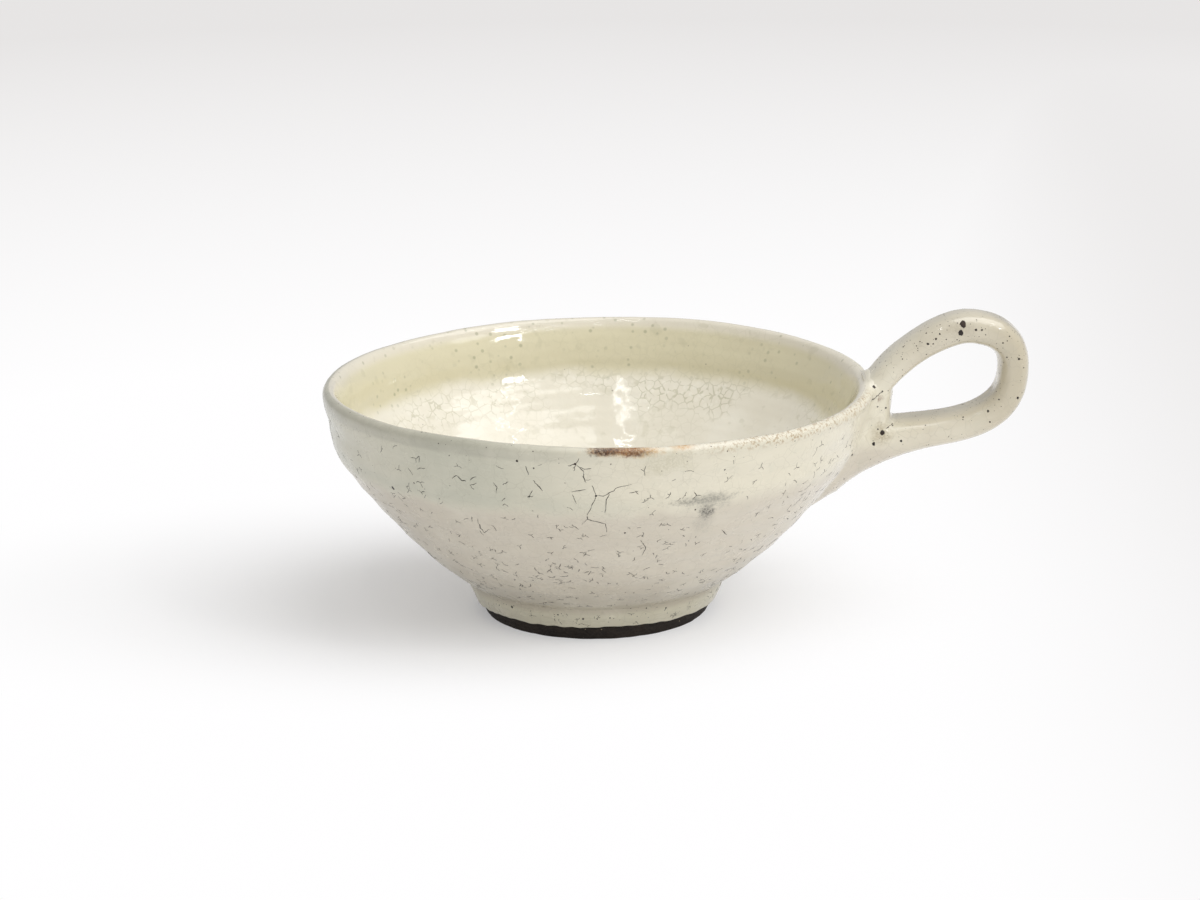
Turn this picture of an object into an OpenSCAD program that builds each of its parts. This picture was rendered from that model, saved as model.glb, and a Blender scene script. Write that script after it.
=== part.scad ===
// A hand-thrown soup bowl with one pulled loop handle, standing on its foot ring.
// The origin is the centre of the foot ring on the table, +Z is up and the handle points along +X.
// An outline point is [radius, height, lean]. Lean is the angle of travel, away from straight up,
// so that the skin on it lies square to the surface. Outlines run from the foot over the lip.

/* [Bowl] */
// Outer diameter of the glazed rim
rim_d = 140; // [124:1:160]
// Height of the glazed rim above the table
bowl_h = 60.3; // [54:0.1:68]
// Height at which the belly starts to turn up into the collar
shoulder_h = 44.3; // [40:0.1:47]
// How far the belly stays inside the rim at that height, as a share of the collar's height
shoulder_inset_share = 0.29375; // [0.2:0.00125:0.4]
// Lean of the belly where it leaves the foot
base_lean = 63; // [55:1:68]
// Lean of the belly where it reaches the shoulder
shoulder_lean = 31; // [26:1:36]
// Lean of the collar above the shoulder
collar_lean = 9; // [6:0.5:12]
// Lean of the wall just under the lip
lip_lean = 13; // [9:0.5:18]

/* [Wall] */
// Thickness of the clay wall
wall_t = 3.3; // [2.6:0.1:4.2]
// Radius of the rounded clay lip
lip_round = 0.95; // [0.7:0.05:1.2]
// Thickness of the clay floor at its centre
floor_t = 4.8; // [3.5:0.1:6]

/* [Foot] */
// Outer diameter of the foot ring
foot_d = 56.4; // [48:0.2:64]
// Width of the ring that stands on the table
foot_ring_w = 5.4; // [4:0.1:8]
// Height of the straight side of the foot ring
foot_side_h = 4.5; // [4:0.1:6]
// Radius of the neck between the foot ring and the belly
neck_round = 3.6; // [2.6:0.1:4.5]
// Depth of the turned recess under the bowl
recess_h = 3.6; // [2.5:0.1:4]
// Radius in the corner of the recess
recess_round = 1.6; // [1:0.1:2]
// Chamfer on both edges of the foot ring
foot_chamfer = 0.6; // [0.3:0.1:1]

/* [Glaze] */
// Thickness of the glaze
glaze_t = 0.8; // [0.5:0.05:1]
// Height at which the glaze stops above the bare foot
glaze_line_h = 3.4; // [3:0.1:3.8]
// Radius of the thick roll in which the glaze ends
glaze_roll = 1; // [0.8:0.05:1.2]

/* [Handle] */
// How far the middle of the strap reaches past the rim
tip_out = 36.5; // [28:0.5:44]
// Height of the outermost point of the loop above the rim
tip_rise = 3.2; // [0:0.1:6]
// How far past the rim the top of the loop lies
top_out = 24; // [18:0.5:27]
// Height of the middle of the strap above the rim at the top of the loop
top_rise = 12.8; // [9:0.1:18]
// Width of the clay strap
strap_w = 11; // [9:0.1:13]
// Thickness of the clay strap
strap_t = 5.2; // [4:0.1:6.5]
// Thickness of the clay strap in its lower arm
low_arm_t = 6.6; // [5:0.1:8]
// Width of the clay strap in its lower arm
low_arm_w = 12.4; // [10:0.1:14]
// Rise of the lower arm away from the wall
low_arm_slope = 26; // [18:1:32]

/* [Handle roots] */
// Thickness of the strap at its upper root
high_root_t = 6; // [5:0.1:7.5]
// Width of the strap at its upper root
high_root_w = 12; // [10:0.1:13]
// Thickness of the strap where it is smeared onto the belly
low_root_t = 12; // [9:0.1:14]
// Width of the strap where it is smeared onto the belly
low_root_w = 16; // [13:0.1:18]
// How far the clay pad between the two roots stands off the collar
pad_proud = 7.2; // [6:0.1:8.5]
// Width of the clay pad
pad_w = 12.8; // [11:0.1:14]
// How much the pad narrows at its middle
pad_waist = 0.6; // [0:0.1:1.5]

/* [Hidden] */
$fn = 90;
// Facets of a round form where it trims a swept one
fine_fn = 360;

// Steps along each curve of an outline, and round the lip
curve_steps = 12;
arc_steps = 4;
lip_steps = 10;
// Rings along each of the three curves of the strap, and corners of one ring
strap_steps = 11;
pad_steps = 8;
ring_sides = 20;
// Power of the rounded section: 2 is an ellipse, more is squarer
section_power = 2.5;

rim_r = rim_d / 2;
foot_r = foot_d / 2;
ring_in_r = foot_r - foot_ring_w;
// The collar is all that stands above the shoulder, and the turn at the shoulder grows with it
collar_h = bowl_h - shoulder_h;
shoulder_round_share = 0.6875;
shoulder_round = shoulder_round_share * collar_h;

// Pull of an outline curve on each of its ends, as a share of the distance between them
base_pull_share = 0.25;
shoulder_pull_share = 0.23;
collar_pull_share = 0.35;
floor_edge_pull_share = 0.3;
floor_middle_pull_share = 0.45;
// Where the inside leaves the line of the belly and runs into the floor
floor_join_share = 0.16;

// Where the strap starts, inside the collar under the lip
high_root_in = 1.6;
high_root_drop = 6.4;
// Depth below the rim at which the strap meets the belly, and how far inside its face it ends
low_root_drop = 24.7;
low_root_bury = 2.5;
// Pulls of the strap's three curves on their ends
high_root_pull = 10.5;
top_back_pull = 7.6;
top_front_pull = 5.6;
tip_up_pull = 5.2;
tip_down_pull = 20.5;
low_root_pull = 27;
// Lean of the strap where it leaves the collar, above level
high_root_slope = 78;
// The pad runs from inside the lower root to inside the upper one
pad_foot_drop = 16.5;
pad_top_drop = 4.2;
// How far the pad reaches behind the face of the collar
pad_bury = 2.4;
// The window in the outer glaze through which the roots reach the clay: its depth below the
// glazed rim, the height of its rounded end, and its margin on each side of the roots
window_h = 32.6;
window_end_h = 9;
window_margin = 0.5;
// Any overrun of a cut past the face it opens
overrun = 5;

function blend(a, b, t) = a + (b - a) * t;
function eased(t) = t * t * (3 - 2 * t);
function curve(p, t) = pow(1 - t, 3) * p[0] + 3 * pow(1 - t, 2) * t * p[1]
    + 3 * (1 - t) * t * t * p[2] + pow(t, 3) * p[3];
function travel(p, t) = pow(1 - t, 2) * (p[1] - p[0]) + 2 * (1 - t) * t * (p[2] - p[1])
    + t * t * (p[3] - p[2]);
function on_curve(p, t) = let (at = curve(p, t), d = travel(p, t)) [at[0], at[1], atan2(d[0], d[1])];
function along(p, from, to) = [for (i = [0:curve_steps]) on_curve(p, blend(from, to, i / curve_steps))];
function ahead(lean) = [sin(lean), cos(lean)];
function outward(lean) = [cos(lean), -sin(lean)];
// An outline point moved square to the surface, and the same for a whole outline
function moved(p, d) = [p[0], p[1]] + d * outward(p[2]);
function skin(outline, d) = [for (p = outline) moved(p, d)];
// Points on a round of radius r, whose centre is c, as the lean goes from one angle to another
function round_on(c, r, from, to, steps) =
    [for (i = [0:steps]) let (a = blend(from, to, i / steps), p = c + r * outward(a)) [p[0], p[1], a]];
function rest(list) = [for (i = [1:len(list) - 1]) list[i]];
function backwards(list) = [for (i = [len(list) - 1:-1:0]) list[i]];

// Outside of the clay: the neck is a hollow round, so its radius is measured the other way
neck = [for (i = [0:arc_steps]) let (a = base_lean * i / arc_steps,
    p = [foot_r + neck_round, foot_side_h] - neck_round * outward(a)) [p[0], p[1], a]];
belly_start = [neck[arc_steps][0], neck[arc_steps][1]];
shoulder = [rim_r - shoulder_inset_share * collar_h, shoulder_h];
belly_l = norm(shoulder - belly_start);
belly = [belly_start, belly_start + base_pull_share * belly_l * ahead(base_lean),
    shoulder - shoulder_pull_share * belly_l * ahead(shoulder_lean), shoulder];
turn_c = shoulder - shoulder_round * outward(shoulder_lean);
turn = round_on(turn_c, shoulder_round, shoulder_lean, collar_lean, arc_steps);
turn_end = moved(turn[arc_steps], 0);
lip_c = [rim_r - glaze_t - lip_round, bowl_h - glaze_t - lip_round];
lip_start = lip_c + lip_round * outward(lip_lean);
collar_l = norm(lip_start - turn_end);
collar = [turn_end, turn_end + collar_pull_share * collar_l * ahead(collar_lean),
    lip_start - collar_pull_share * collar_l * ahead(lip_lean), lip_start];
lip_out = round_on(lip_c, lip_round, lip_lean, -90, lip_steps / 2);
lip_in = round_on(lip_c, lip_round, -90, lip_lean - 180, lip_steps / 2);
wall_out = concat(neck, rest(along(belly, 0, 1)), rest(turn), rest(along(collar, 0, 1)), rest(lip_out));

// Inside of the clay: the same curves, one wall further in, and then the floor
function inner(p, t) = let (q = moved(p, -t)) [q[0], q[1], p[2] - 180];
collar_in = [for (i = [curve_steps - 1:-1:0]) let (t = i / curve_steps)
    inner(on_curve(collar, t), blend(wall_t, 2 * lip_round, t * t))];
turn_in = [for (i = [arc_steps - 1:-1:0]) inner(turn[i], wall_t)];
belly_in = [for (p = rest(along(belly, 1, floor_join_share))) inner(p, wall_t)];
floor_edge = belly_in[curve_steps - 1];
floor_middle = [0, recess_h + floor_t];
floor_curve = [moved(floor_edge, 0),
    moved(floor_edge, 0) + floor_edge_pull_share * floor_edge[0] * ahead(floor_edge[2]),
    floor_middle + [floor_middle_pull_share * floor_edge[0], 0], floor_middle];
wall_in = concat(lip_in, collar_in, turn_in, belly_in, rest(along(floor_curve, 0, 1)));

// Underside: the recess, its rounded corner and the ring that stands on the table
recess_corner = [ring_in_r - recess_round, recess_h - recess_round];
underside = concat([[0, recess_h]],
    [for (i = [0:arc_steps]) let (a = 90 * i / arc_steps) recess_corner + recess_round * [sin(a), cos(a)]],
    [[ring_in_r, foot_chamfer], [ring_in_r + foot_chamfer, 0], [foot_r - foot_chamfer, 0],
    [foot_r, foot_chamfer]]);

// The clay bowl as a filled form, which trims the roots
module filled() rotate_extrude()
    polygon(concat([[0, 0], [foot_r, 0]], skin(wall_out, 0), [[0, wall_out[len(wall_out) - 1][1]]]));

// Strap: three curves from the collar, over the top and round the tip, back to the belly
high_root = [rim_r - high_root_in, bowl_h - high_root_drop];
top = [rim_r + top_out, bowl_h + top_rise];
tip = [rim_r + tip_out, bowl_h + tip_rise];
low_root_at = lookup(bowl_h - low_root_drop,
    [for (i = [0:curve_steps]) [curve(belly, i / curve_steps)[1], i / curve_steps]]);
low_root = moved(on_curve(belly, low_root_at), -low_root_bury);
strap_rise = [high_root, high_root + high_root_pull * [cos(high_root_slope), sin(high_root_slope)],
    top - [top_back_pull, 0], top];
strap_bend = [top, top + [top_front_pull, 0], tip + [0, tip_up_pull], tip];
strap_fall = [tip, tip - [0, tip_down_pull],
    low_root + low_root_pull * [cos(low_arm_slope), sin(low_arm_slope)], low_root];

// A ring of the strap is [centre, direction of travel, thickness, width]
function fall_size(mid, arm, root, t) =
    t < 0.5 ? blend(mid, arm, eased(2 * t)) : blend(arm, root, pow(2 * t - 1, 2));
rise_rings = [for (i = [0:strap_steps - 1]) let (t = i / strap_steps) [curve(strap_rise, t),
    travel(strap_rise, t), blend(high_root_t, strap_t, eased(t)), blend(high_root_w, strap_w, eased(t))]];
bend_rings = [for (i = [0:strap_steps - 1]) let (t = i / strap_steps)
    [curve(strap_bend, t), travel(strap_bend, t), strap_t, strap_w]];
fall_rings = [for (i = [0:2 * strap_steps]) let (t = i / (2 * strap_steps)) [curve(strap_fall, t),
    travel(strap_fall, t), fall_size(strap_t, low_arm_t, low_root_t, t),
    fall_size(strap_w, low_arm_w, low_root_w, t)]];
strap_rings = concat(rise_rings, bend_rings, fall_rings);

// Pad: a waisted block of soft clay pressed between the roots, with its back following the wall
function wall_r(h) = lookup(h, [for (p = wall_out) [p[1], p[0]]]);
pad_front = turn_end[0] + pad_proud;
pad_rings = [for (i = [0:pad_steps]) let (t = i / pad_steps,
    h = bowl_h - blend(pad_foot_drop, pad_top_drop, t), back = wall_r(h) - pad_bury)
    [[(back + pad_front) / 2, h], [0, 1], pad_front - back, pad_w - pad_waist * sin(180 * t)]];

function signed_power(v, p) = sign(v) * pow(abs(v), p);
// One ring as points: a rounded section square to the travel, grown by a skin thickness and
// pushed along the travel
function ring(r, grow, push) = let (d = r[1] / norm(r[1]), n = [d[1], 0, -d[0]], c = r[0] + push * d)
    [for (i = [0:ring_sides - 1]) let (a = 360 * (i + 0.5) / ring_sides) [c[0], 0, c[1]]
        + n * (r[2] / 2 + grow) * signed_power(cos(a), 2 / section_power)
        + [0, (r[3] / 2 + grow) * signed_power(sin(a), 2 / section_power), 0]];

module swept(rings, grow) {
    end = len(rings) - 1;
    points = [for (k = [0:end]) each ring(rings[k], grow, k == 0 ? -grow : k == end ? grow : 0)];
    last = ring_sides * end;
    sides = [for (k = [0:end - 1], i = [0:ring_sides - 1])
        let (a = k * ring_sides + i, b = k * ring_sides + (i + 1) % ring_sides)
            each [[a, b + ring_sides, b], [a, a + ring_sides, b + ring_sides]]];
    ends = [[for (i = [0:ring_sides - 1]) i], [for (i = [ring_sides - 1:-1:0]) last + i]];
    polyhedron(points, concat(sides, ends));
}

// Its children as one closed mesh, at the size they have
module one_mesh() resize([0, 0, 0]) children();

// The window, as an upright slot with a rounded lower end, seen from the handle's side
window_w = low_root_w + 2 * (glaze_t + window_margin);
window_top = bowl_h + overrun;
window_foot = bowl_h - window_h + window_end_h;
module root_window() rotate([90, 0, 90]) linear_extrude(rim_r + overrun)
    polygon(concat([[-window_w / 2, window_top]],
        [for (i = [0:2 * arc_steps]) let (a = 90 * i / arc_steps)
            [-cos(a) * window_w / 2, window_foot - sin(a) * window_end_h]],
        [[window_w / 2, window_top]]));

module bowl_body() color([0.2, 0.17, 0.15]) rotate_extrude()
    polygon(concat(underside, [for (p = concat(wall_out, rest(wall_in))) moved(p, 0)]));

module handle_strap() color([0.24, 0.2, 0.18]) difference() {
    swept(strap_rings, 0);
    filled();
}

module root_pad() color([0.3, 0.25, 0.22]) one_mesh() difference() {
    swept(pad_rings, 0);
    swept(strap_rings, 0);
    filled($fn = fine_fn);
}

module glaze_inside() color([0.87, 0.85, 0.78]) rotate_extrude()
    polygon(concat(skin(wall_in, 0), backwards(skin(wall_in, glaze_t))));

// The outer skin all round, from the thick roll above the foot to the crest of the lip
module outer_skin(depth) rotate_extrude() polygon(concat(
    [for (i = [0:arc_steps]) [foot_r, glaze_line_h + glaze_roll]
        + glaze_roll * outward(90 - 90 * i / arc_steps)],
    skin(wall_out, glaze_t), backwards(skin(wall_out, -depth))));

module glaze_outside() color([0.84, 0.82, 0.75]) difference() {
    outer_skin(0);
    root_window();
}

module glaze_handle() color([0.82, 0.79, 0.71]) one_mesh() difference() {
    union() {
        swept(strap_rings, glaze_t);
        swept(pad_rings, glaze_t);
        intersection() {
            outer_skin(lip_round, $fn = fine_fn);
            root_window();
        }
    }
    swept(strap_rings, 0);
    swept(pad_rings, 0);
    filled($fn = fine_fn);
}

bowl_body();
handle_strap();
root_pad();
glaze_inside();
glaze_outside();
glaze_handle();
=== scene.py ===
import itertools
import math

import bpy
import numpy as np
from mathutils import Matrix, Vector
from mathutils.bvhtree import BVHTree


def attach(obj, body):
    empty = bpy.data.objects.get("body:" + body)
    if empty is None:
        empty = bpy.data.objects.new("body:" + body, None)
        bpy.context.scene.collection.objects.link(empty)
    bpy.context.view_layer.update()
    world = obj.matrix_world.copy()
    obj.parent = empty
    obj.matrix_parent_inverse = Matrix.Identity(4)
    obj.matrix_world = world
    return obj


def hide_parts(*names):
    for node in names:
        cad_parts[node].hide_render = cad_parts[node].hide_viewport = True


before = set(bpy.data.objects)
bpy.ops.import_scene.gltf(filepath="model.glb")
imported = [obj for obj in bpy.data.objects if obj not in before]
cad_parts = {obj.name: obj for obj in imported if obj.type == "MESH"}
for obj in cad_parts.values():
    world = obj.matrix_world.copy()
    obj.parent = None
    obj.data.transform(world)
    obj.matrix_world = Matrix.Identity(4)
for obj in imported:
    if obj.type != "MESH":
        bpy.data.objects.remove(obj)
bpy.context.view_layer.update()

# Sizes are in millimetres until a mesh is made, and match the construction of the bowl
MM = 0.001
RIM_R = 70.0
BOWL_H = 60.3
SHOULDER = (65.3, 44.3)
BASE_LEAN = 57.6
SHOULDER_LEAN = 31.0
SHOULDER_ROUND = 11.0
COLLAR_LEAN = 9.0
LIP_LEAN = 13.0
LIP_ROUND = 0.95
WALL_T = 3.3
FLOOR_T = 4.8
FOOT_R = 28.8
FOOT_RING_W = 5.4
FOOT_TOP = (32.5, 9.2)
FOOT_LEANS = (25.0, 13.0)
FOOT_CHAMFER = 0.3
NECK_ROUND = 1.2
# How far the ends of each outline curve pull, as a share of its reach
FOOT_PULL = 0.33
BELLY_PULLS = (0.28, 0.23)
COLLAR_PULL = 0.35
FLOOR_PULLS = (0.3, 0.45)
# Height at which the inside leaves the belly's line for the floor's
FLOOR_FROM = 12.5
RECESS_H = 3.6
RECESS_ROUND = 1.6
GLAZE_T = 0.8
GLAZE_LINE_H = 3.8
GLAZE_EDGE_T = 0.45
GLAZE_ROLL = 0.6

# The glaze pieces: points in each ring, steps between rings, finer up to a height, and depth of the piece
AROUND = 640
ROW_STEP = 0.55
FINE_STEP, FINE_BELOW = 0.22, 12.0
SKIN_DEPTH = 0.7
CLAY_AROUND = 384

# The handle: places of its middle line, and thickness and width with the glaze on
HIGH_ROOT = (68.9, 53.7)
TOP = (94.3, 73.1)
TIP = (105.95, 63.1)
LOW_ROOT = (57.5, 39.0)
HIGH_ROOT_SLOPE = 73.9
LOW_ARM_SLOPE = 28.2
PULLS = {"high_root": 8.9, "top_back": 8.2, "top_front": 2.4, "tip_up": 9.2, "tip_down": 21.7, "low_root": 25.5}
STRAP_SIZE = (7.8, 12.6)
HIGH_ROOT_SIZE = (6.5, 13.6)
LOW_ARM_SIZE = (7.9, 14.0)
LOW_ROOT_SIZE = (18.0, 18.6)
SECTION_POWER = 2.9
ROOT_FLARE = 2.1
PAD_X = (64.3, 74.9)
PAD_Z = (44.0, 56.6)
PAD_W = 14.2
# How far the lower root runs on inside the wall, how softly strap, pad and wall join, and the wall's rise and its steps
ROOT_RUN = 6.0
PAD_MELT = 2.2
ROOT_MELT = 3.2
ROOT_LIFT_MAX, LIFT_STEP = 2.4, 0.1
# Corners of the space round the handle, and the grid steps of its glaze and its clay
HANDLE_LOW = (48.0, -15.0, 24.0)
HANDLE_HIGH = (113.0, 15.0, 80.0)
HANDLE_STEP, STRAP_STEP = 0.55, 1.1
# How deep the handle's glaze and its clay reach into the wall, and how far from the handle the glaze runs out
SEAT_DEPTH, STRAP_SEAT = 0.55, 1.2
ROOT_SPREAD = 4.5

# How the rim stands out of level on the real pot, fading out down the wall
RIM_TILT = (-0.22, -0.39)
RIM_SWAY, RIM_SWAY_TURN = 0.64, 2.21
TILT_FADE = (8.0, 50.0)
TILT_RADII = (5.0, 40.0)
# The pot's body stands a little to the left under its rim
BODY_SHIFT = -0.75
SHIFT_FADE = (44.0, 57.0)
# The handle rises with the rim beside it
HANDLE_LIFT = RIM_TILT[0] + RIM_SWAY * math.cos(RIM_SWAY_TURN)

# The photograph's frame and the camera fitted to it
PHOTO_W, PHOTO_H = 1200, 900
CAM_TARGET = (0.54, 0.0, 41.45)
CAM_DISTANCE = 900.0
CAM_ELEVATION = 15.6
CAM_ROLL = 0.6
CAM_LENS = 105.4
SENSOR_W = 36.0


def smooth(lo, hi, x):
    """Zero at lo and one at hi, with a soft start and end."""
    t = np.clip((x - lo) / (hi - lo), 0.0, 1.0)
    return t * t * (3 - 2 * t)


def lattice_hash(ix, iy, iz, seed):
    """A repeatable number from 0 to 1 for each lattice point."""
    h = (ix * 374761393 + iy * 668265263 + iz * 2147483647 + seed * 974634777) & 0xFFFFFFFF
    h = ((h ^ (h >> 13)) * 1274126177) & 0xFFFFFFFF
    return ((h ^ (h >> 16)) & 0xFFFFFF) / float(0xFFFFFF)


def polar(p):
    """Radius and angle of points round the pot's axis."""
    return np.hypot(p[..., 0], p[..., 1]), np.arctan2(p[..., 1], p[..., 0])


def on_ring(r, angle, z):
    return np.stack([r * np.cos(angle), r * np.sin(angle), z + 0 * angle], -1)


def noise(p, size, seed):
    """Smooth noise from -1 to 1 with lumps of about the given size, at points p."""
    q = np.asarray(p, float) / size
    base = np.floor(q).astype(np.int64)
    f = q - base
    f = f * f * (3 - 2 * f)
    total = 0.0
    for corner in np.ndindex(2, 2, 2):
        share = np.where(corner, f, 1 - f).prod(-1)
        total = total + share * lattice_hash(*np.moveaxis(base + corner, -1, 0), seed)
    return 2 * total - 1


# Outlines of the turned form, as rows of radius, height and lean away from straight up
def bezier(p, t):
    """Places on a cubic curve, and its travel there."""
    a, b, c, d = np.asarray(p, float)
    t = t[:, None]
    u = 1 - t
    place = u ** 3 * a + 3 * u ** 2 * t * b + 3 * u * t * t * c + t ** 3 * d
    return place, u ** 2 * (b - a) + 2 * u * t * (c - b) + t * t * (d - c)


def ahead(lean):
    return np.array([math.sin(math.radians(lean)), math.cos(math.radians(lean))])


def outward(lean):
    lean = np.radians(lean)
    return np.stack([np.cos(lean), -np.sin(lean)], -1)


def curve_rows(p, t):
    place, d = bezier(p, t)
    return np.column_stack([place, np.degrees(np.arctan2(d[:, 0], d[:, 1]))])


def round_rows(centre, radius, start, end, steps):
    lean = np.linspace(start, end, steps)
    return np.column_stack([np.asarray(centre) + radius * outward(lean), lean])


def moved(rows, d):
    """The rows' points, moved square to the surface, with their lean kept."""
    return np.column_stack([rows[:, :2] + np.reshape(d, (-1, 1)) * outward(rows[:, 2]), rows[:, 2]])


def curve_between(start, end, lean_start, lean_end, pull_start, pull_end):
    """Control points of a curve with a lean and a pull at each end."""
    return [start, start + pull_start * ahead(lean_start), end - pull_end * ahead(lean_end), end]


def clay_outlines():
    """The outside of the clay from the foot's side to the lip, and its inside from the lip to the axis."""
    foot, top = np.array([FOOT_R, FOOT_CHAMFER]), np.array(FOOT_TOP)
    pull = FOOT_PULL * np.linalg.norm(top - foot)
    side = curve_rows(curve_between(foot, top, *FOOT_LEANS, pull, pull), np.linspace(0, 1, 24))
    lean = np.linspace(FOOT_LEANS[1], BASE_LEAN, 9)
    neck_c = top + NECK_ROUND * outward(FOOT_LEANS[1])
    neck = np.vstack([side, np.column_stack([neck_c - NECK_ROUND * outward(lean), lean])[1:]])
    start, shoulder = neck[-1, :2], np.array(SHOULDER)
    reach = np.linalg.norm(shoulder - start)
    belly = curve_between(start, shoulder, BASE_LEAN, SHOULDER_LEAN, *(share * reach for share in BELLY_PULLS))
    turn_c = shoulder - SHOULDER_ROUND * outward(SHOULDER_LEAN)
    turn = round_rows(turn_c, SHOULDER_ROUND, SHOULDER_LEAN, COLLAR_LEAN, 10)
    lip_c = np.array([RIM_R - GLAZE_T - LIP_ROUND, BOWL_H - GLAZE_T - LIP_ROUND])
    lip_start = lip_c + LIP_ROUND * outward(LIP_LEAN)
    pull = COLLAR_PULL * np.linalg.norm(lip_start - turn[-1, :2])
    collar = curve_between(turn[-1, :2], lip_start, COLLAR_LEAN, LIP_LEAN, pull, pull)
    t = np.linspace(0, 1, 60)
    belly_rows, collar_rows = curve_rows(belly, t), curve_rows(collar, t)
    lip_out = round_rows(lip_c, LIP_ROUND, LIP_LEAN, -90, 12)
    lip_in = round_rows(lip_c, LIP_ROUND, -90, LIP_LEAN - 180, 12)
    outside = np.vstack([neck, belly_rows[1:], turn[1:], collar_rows[1:], lip_out[1:]])
    inner = []
    for rows, walls in (
        (collar_rows[:-1], WALL_T + (2 * LIP_ROUND - WALL_T) * t[:-1] ** 2),
        (turn[:-1], WALL_T),
        (belly_rows[belly_rows[:, 1] > FLOOR_FROM][:-1], WALL_T),
    ):
        shifted = moved(rows, -walls * np.ones(len(rows)))
        shifted[:, 2] -= 180
        inner.append(shifted[::-1])
    inner = np.vstack([lip_in] + inner)
    edge, middle = inner[-1], np.array([0.0, RECESS_H + FLOOR_T])
    floor = curve_between(edge[:2], middle, edge[2], -90, *(share * edge[0] for share in FLOOR_PULLS))
    inside = np.vstack([inner, curve_rows(floor, t)[1:]])
    inside[-1, 0] = 0.0
    return outside, inside


def resampled(rows, step):
    """The rows at an even spacing along the outline."""
    gap = np.hypot(*np.diff(rows[:, :2], axis=0).T)
    at = np.concatenate([[0], np.cumsum(gap)])
    want = np.linspace(0, at[-1], max(3, int(at[-1] / step) + 1))
    return np.column_stack([np.interp(want, at, rows[:, i]) for i in range(3)])


CLAY_OUT, CLAY_IN = clay_outlines()


def nearest(points, rows):
    """Index of the row that lies nearest to each point of a flat list."""
    best, near = np.full(len(points), np.inf), np.zeros(len(points), int)
    for k, row in enumerate(rows):
        d = (points[:, 0] - row[0]) ** 2 + (points[:, 1] - row[1]) ** 2
        closer = d < best
        best[closer], near[closer] = d[closer], k
    return near


# Radii, heights and step of the lookup grid round the handle's side of the wall
FIELD_R, FIELD_Z, FIELD_STEP = (38.0, 116.0), (18.0, 84.0), 0.3


def wall_field():
    """Signed distance to the outer face of the glazed wall over radius and height, as a lookup grid."""
    outline = resampled(moved(CLAY_OUT, GLAZE_T), 0.25)
    r, z = (np.arange(*span, FIELD_STEP) for span in (FIELD_R, FIELD_Z))
    grid = np.stack(np.meshgrid(r, z, indexing="ij"), -1)
    rows = outline[nearest(grid.reshape(-1, 2), outline)].reshape(*grid.shape[:2], 3)
    d = grid - rows[..., :2]
    side = (d * outward(rows[..., 2])).sum(-1)
    return r, z, np.hypot(d[..., 0], d[..., 1]) * np.where(side < 0, -1, 1)


WALL_R, WALL_Z, WALL_D = wall_field()


def wall_distance(p):
    """Signed distance from points p to the glazed wall, before the pot's own tilt."""
    r, _ = polar(p)
    i = np.clip((r - WALL_R[0]) / (WALL_R[1] - WALL_R[0]), 0, len(WALL_R) - 1.001)
    j = np.clip((p[..., 2] - WALL_Z[0]) / (WALL_Z[1] - WALL_Z[0]), 0, len(WALL_Z) - 1.001)
    a, b = i.astype(int), j.astype(int)
    u, v = i - a, j - b
    low = WALL_D[a, b] * (1 - u) + WALL_D[a + 1, b] * u
    high = WALL_D[a, b + 1] * (1 - u) + WALL_D[a + 1, b + 1] * u
    return low * (1 - v) + high * v


def tilt_at(p):
    """How far the pot's own irregularity lifts the points p."""
    r, angle = polar(p)
    lift = RIM_TILT[0] * np.cos(angle) + RIM_TILT[1] * np.sin(angle) + RIM_SWAY * np.cos(2 * angle - RIM_SWAY_TURN)
    return lift * smooth(*TILT_FADE, p[..., 2]) * smooth(*TILT_RADII, r)


def handle_path():
    """The strap's middle line as two row sets, each with place, travel, half thickness and half width."""
    high, top, tip, low = (np.array(q) for q in (HIGH_ROOT, TOP, TIP, LOW_ROOT))
    strap, root, arm, low_root = (np.array(q) for q in (STRAP_SIZE, HIGH_ROOT_SIZE, LOW_ARM_SIZE, LOW_ROOT_SIZE))
    for q in (high, top, tip):
        q[1] -= HANDLE_LIFT
    rise = [high, high + PULLS["high_root"] * ahead(90 - HIGH_ROOT_SLOPE), top - [PULLS["top_back"], 0], top]
    bend = [top, top + [PULLS["top_front"], 0], tip + [0, PULLS["tip_up"]], tip]
    fall = [tip, tip - [0, PULLS["tip_down"]], low + PULLS["low_root"] * ahead(90 - LOW_ARM_SLOPE), low]
    t = np.linspace(0, 1, 70)
    ease, u = smooth(0, 1, t)[:, None], (2 * t)[:, None]
    to_arm = strap + (arm - strap) * smooth(0, 1, u)
    to_root = arm + (low_root - arm) * np.clip(u - 1, 0, 1) ** ROOT_FLARE
    rows = []
    for curve, size in (
        (rise, root + (strap - root) * ease),
        (bend, np.repeat(strap[None], len(t), 0)),
        (fall, np.where(u < 1, to_arm, to_root)),
    ):
        place, d = bezier(curve, t)
        rows.append(np.column_stack([place, d / np.linalg.norm(d, axis=1)[:, None], size / 2]))
    end = rows[2][-1]
    buried = np.repeat(end[None], 8, 0)
    buried[:, :2] += np.linspace(0.8, ROOT_RUN, 8)[:, None] * end[2:4]
    return np.vstack(rows[:2]), np.vstack([rows[2], buried])


HANDLE_PATHS = handle_path()


def section_distance(n, y, half_t, half_w):
    """Distance out of a rounded section, measured along the line from its middle."""
    reach = np.hypot(n, y) + 1e-6
    q = (np.abs(n / half_t) ** SECTION_POWER + np.abs(y / half_w) ** SECTION_POWER) ** (1 / SECTION_POWER) + 1e-6
    return reach * (1 - 1 / q)


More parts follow.
